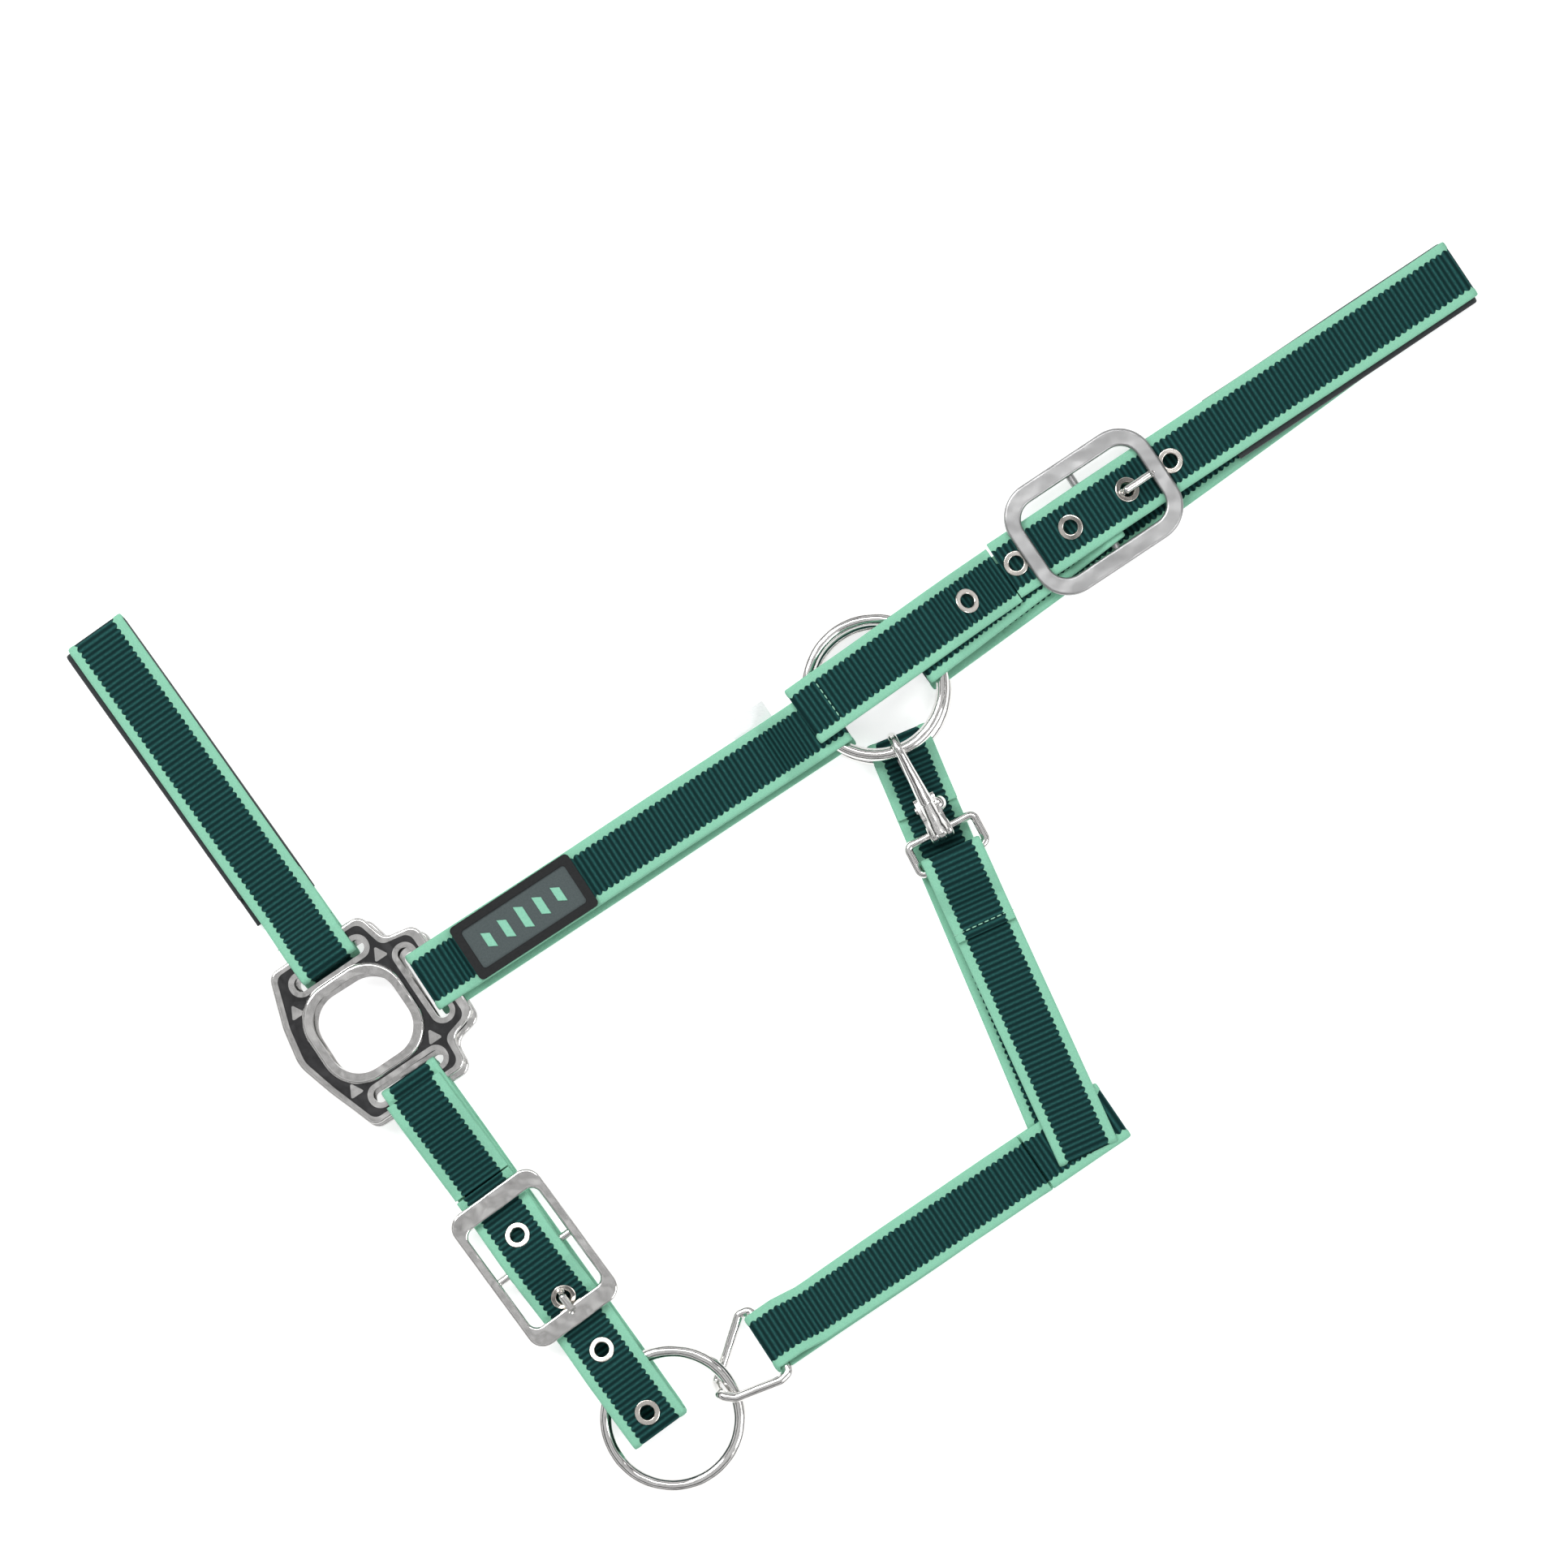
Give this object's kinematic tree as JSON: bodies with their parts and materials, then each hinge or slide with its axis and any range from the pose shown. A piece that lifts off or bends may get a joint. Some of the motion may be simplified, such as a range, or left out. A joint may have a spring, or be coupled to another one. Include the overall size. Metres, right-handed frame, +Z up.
{
  "type": "horse headcollar",
  "caption": "Webbing horse headcollar laid flat on its side, with buckled crown and chin straps, cast squares, rings, a lead link and a snap hook at the throat",
  "frame": {"origin": "middle of the plan outline, on the surface that the halter lies on", "axes": "+X toward the crown fold, +Y toward the poll and noseband side of the lay, +Z up, away from the surface, toward the near side"},
  "size_m": [0.5734, 0.5074, 0.0278],
  "materials": {
    "webbing": "ribbed polypropylene webbing with pale green selvedges",
    "lining": "soft dark padding tape",
    "hardware": "polished nickel plate",
    "eyelet": "bright nickel plate",
    "badge_rubber": "matt moulded rubber",
    "badge_face": "grey panel with a plain raised pattern",
    "label": "white satin tape, blank"
  },
  "bodies": {
    "halter": {"near_square": "hardware", "far_square": "hardware", "near_cheek_strap": "webbing", "far_cheek_strap": "webbing", "badge_frame": "badge_rubber", "badge_panel": "badge_face", "size_label": "label", "noseband_strap": "webbing", "noseband_lining": "lining", "crown_strap": "webbing", "crown_strap_eyelets": "eyelet", "crown_lining": "lining", "crown_buckle_strap": "webbing", "crown_buckle_frame": "hardware", "chin_buckle_strap": "webbing", "chin_buckle_frame": "hardware", "chin_strap": "webbing", "chin_strap_eyelets": "eyelet", "throat_strap": "webbing", "connecting_strap": "webbing"},
    "crown_tail": {"crown_tail": "webbing", "crown_tail_eyelet": "eyelet"},
    "chin_tail": {"chin_tail": "webbing"},
    "crown_prong": {"crown_buckle_prong": "hardware"},
    "chin_prong": {"chin_buckle_prong": "hardware"},
    "near_ring": {"near_throat_ring": "hardware"},
    "far_ring": {"far_throat_ring": "hardware"},
    "lead_ring": {"lead_ring": "hardware"},
    "lead_link": {"lead_link": "hardware"},
    "throat_loop": {"throat_loop": "hardware"},
    "snap_hook": {"snap_hook_body": "hardware", "snap_hook_rivet": "hardware"},
    "snap_gate": {"snap_hook_gate": "hardware"}
  },
  "joints": [
    {"name": "crown_tail_lift", "type": "hinge", "parent": "halter", "child": "crown_tail", "pos_m": [0.09456, 0.11963, 0.00791], "axis": [-0.5776, 0.8163, 0], "range_deg": [0, 70]},
    {"name": "chin_tail_lift", "type": "hinge", "parent": "halter", "child": "chin_tail", "pos_m": [-0.11729, -0.12773, 0.00791], "axis": [0.8137, 0.5814, 0], "range_deg": [0, 70]},
    {"name": "crown_prong_play", "type": "hinge", "parent": "halter", "child": "crown_prong", "pos_m": [0.13015, 0.14482, 0.00801], "axis": [0.5538, -0.8327, 0], "range_deg": [0, 5]},
    {"name": "chin_prong_play", "type": "hinge", "parent": "halter", "child": "chin_prong", "pos_m": [-0.09625, -0.15718, 0.00801], "axis": [-0.8067, -0.591, 0], "range_deg": [0, 5]},
    {"name": "near_ring_turn", "type": "hinge", "parent": "halter", "child": "near_ring", "pos_m": [0.04145, 0.07382, 0.01841], "axis": [0, 0, 1], "continuous": true},
    {"name": "far_ring_turn", "type": "hinge", "parent": "halter", "child": "far_ring", "pos_m": [0.04295, 0.07212, 0.00471], "axis": [0, 0, 1], "continuous": true},
    {"name": "lead_ring_turn", "type": "hinge", "parent": "halter", "child": "lead_ring", "pos_m": [-0.04045, -0.22248, 0.00691], "axis": [-0.037, -0.0231, 0.999], "continuous": true},
    {"name": "lead_link_swing", "type": "hinge", "parent": "halter", "child": "lead_link", "pos_m": [-0.00094, -0.19076, 0.00889], "axis": [-0.5212, 0.7669, -0.3746], "range_deg": [-0.8, 0.8]},
    {"name": "throat_loop_swing", "type": "hinge", "parent": "halter", "child": "throat_loop", "pos_m": [0.0739, 0.00437, 0.00791], "axis": [0.887, 0.4617, 0], "range_deg": [-0.3, 0.5]},
    {"name": "snap_hook_swing", "type": "hinge", "parent": "throat_loop", "child": "snap_hook", "pos_m": [0.06795, 0.01581, 0.00791], "axis": [0.887, 0.4617, 0], "range_deg": [-0.6, 0.8]},
    {"name": "snap_gate_open", "type": "hinge", "parent": "snap_hook", "child": "snap_gate", "pos_m": [0.06274, 0.02581, 0.00878], "axis": [0.887, 0.4617, 0], "range_deg": [0, 15], "stiffness_Nm_per_rad": 0.05, "springref_deg": -5.73}
  ]
}
